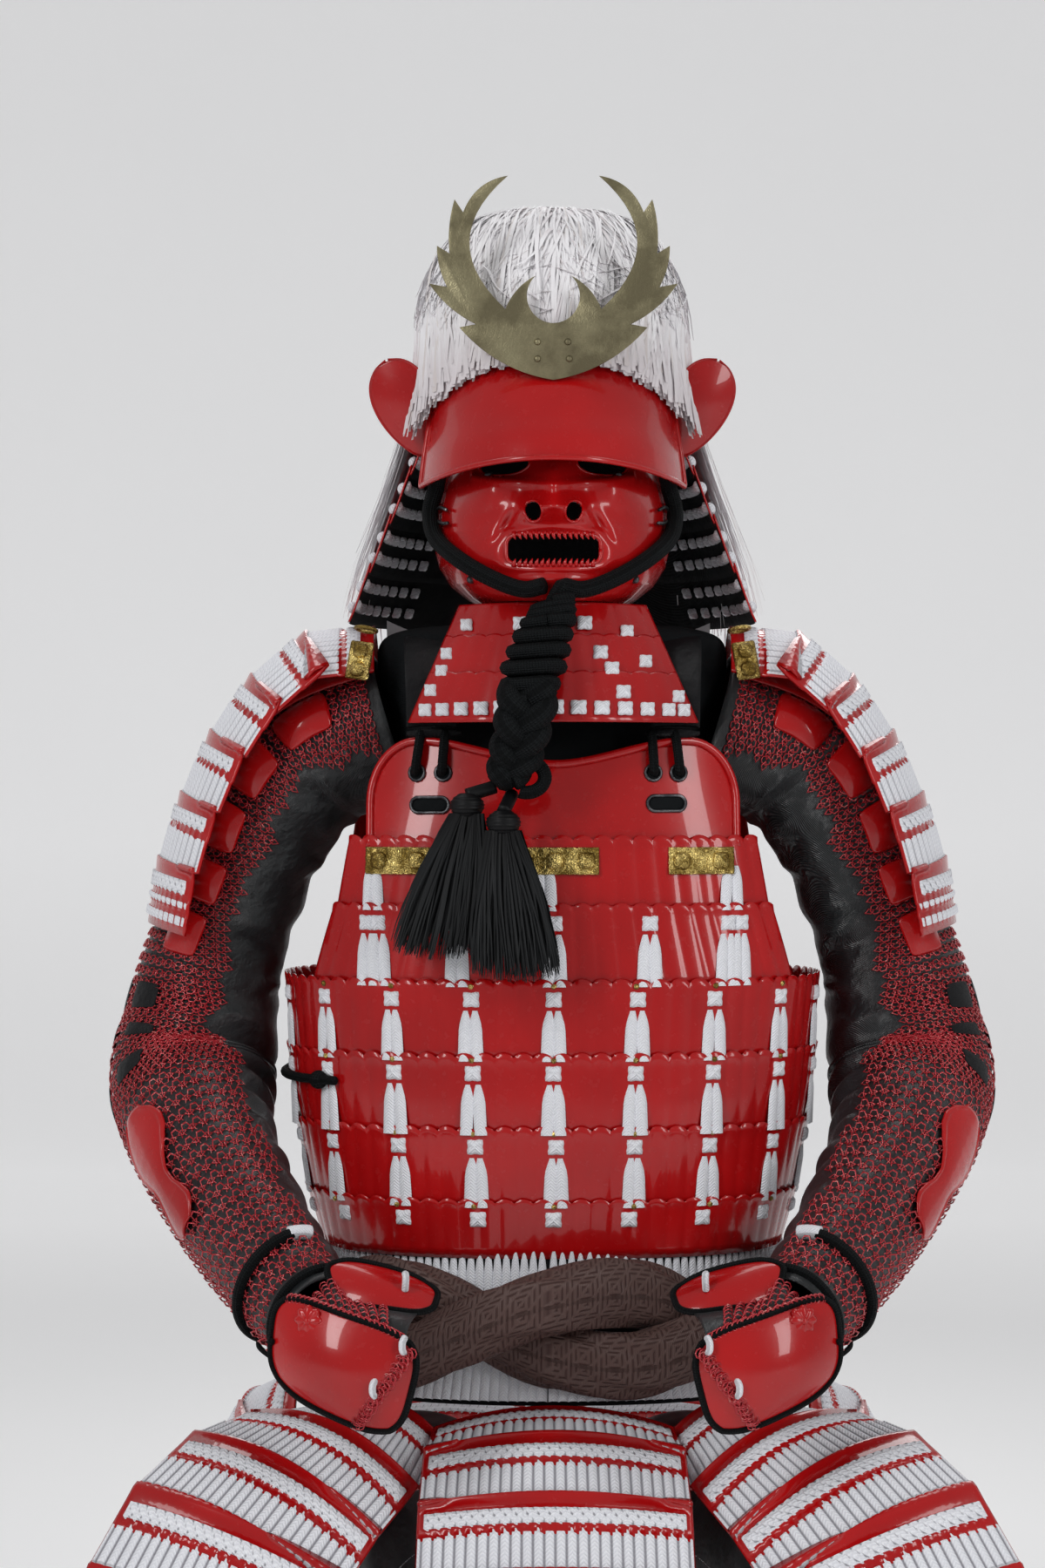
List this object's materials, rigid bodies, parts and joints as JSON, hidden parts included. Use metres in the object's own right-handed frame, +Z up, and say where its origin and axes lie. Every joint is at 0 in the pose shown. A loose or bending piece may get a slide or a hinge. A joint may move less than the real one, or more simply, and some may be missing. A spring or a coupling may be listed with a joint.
{
  "type": "samurai armour",
  "caption": "Full suit of red-lacquered samurai armour with white lacing, haired helmet, face mask, cuirass, armoured sleeves, shoulder guards and skirt, in a seated pose.",
  "frame": {"origin": "on the wearer's shoulder line, at the base of the neck and in the middle from side to side", "axes": "+Z up, -Y the way the wearer faces, +X towards the wearer's left"},
  "size_m": [0.6758, 0.5569, 1.2036],
  "materials": {
    "red_lacquer": "gloss",
    "black_leather": "satin",
    "black_cloth": "matt",
    "white_lacing": "matt, over red-lacquered plates",
    "crest_brass": "dulled",
    "gilt_fittings": "gilt",
    "sash_brocade": "figured weave",
    "white_hair": "long hair"
  },
  "bodies": {
    "root": {"back_plate": "red_lacquer", "body_lame_1": "red_lacquer", "body_lame_2": "red_lacquer", "body_lame_3": "red_lacquer", "body_lame_4": "red_lacquer", "chest_plate": "red_lacquer", "chin_knot": "black_cloth", "chin_strap_left": "black_cloth", "chin_strap_right": "black_cloth", "crest": "crest_brass", "forearm_plate_left": "red_lacquer", "forearm_plate_right": "red_lacquer", "front_lame_1": "red_lacquer", "front_lame_2": "red_lacquer", "gilt_bar_centre": "gilt_fittings", "gilt_bar_left": "gilt_fittings", "gilt_bar_right": "gilt_fittings", "hair": "white_hair", "hand_plate_left": "red_lacquer", "hand_plate_right": "red_lacquer", "helmet_bowl": "red_lacquer", "helmet_brow": "red_lacquer", "lower_sleeve_left": "black_cloth", "lower_sleeve_right": "black_cloth", "mask": "red_lacquer", "neck_lame_1": "red_lacquer", "neck_lame_2": "red_lacquer", "neck_lame_3": "red_lacquer", "neck_lame_4": "red_lacquer", "sash_strand_1": "sash_brocade", "sash_strand_2": "sash_brocade", "shoulder_guard_left": "white_lacing", "shoulder_guard_right": "white_lacing", "shoulder_strap_left": "black_leather", "shoulder_strap_right": "black_leather", "skirt_back_left": "white_lacing", "skirt_back_right": "white_lacing", "skirt_front": "white_lacing", "skirt_front_left": "white_lacing", "skirt_front_right": "white_lacing", "skirt_side_left": "white_lacing", "skirt_side_right": "white_lacing", "tassel_left": "black_cloth", "tassel_right": "black_cloth", "thigh_apron_left": "black_cloth", "thigh_apron_right": "black_cloth", "throat_lame_1": "red_lacquer", "throat_lame_2": "red_lacquer", "throat_lame_3": "red_lacquer", "thumb_plate_left": "red_lacquer", "thumb_plate_right": "red_lacquer", "toggle_left": "black_leather", "toggle_right": "black_leather", "turnback_left": "red_lacquer", "turnback_right": "red_lacquer", "upper_sleeve_left": "black_cloth", "upper_sleeve_right": "black_cloth", "waist_laces": "white_lacing", "yoke": "black_cloth"}
  },
  "joints": []
}
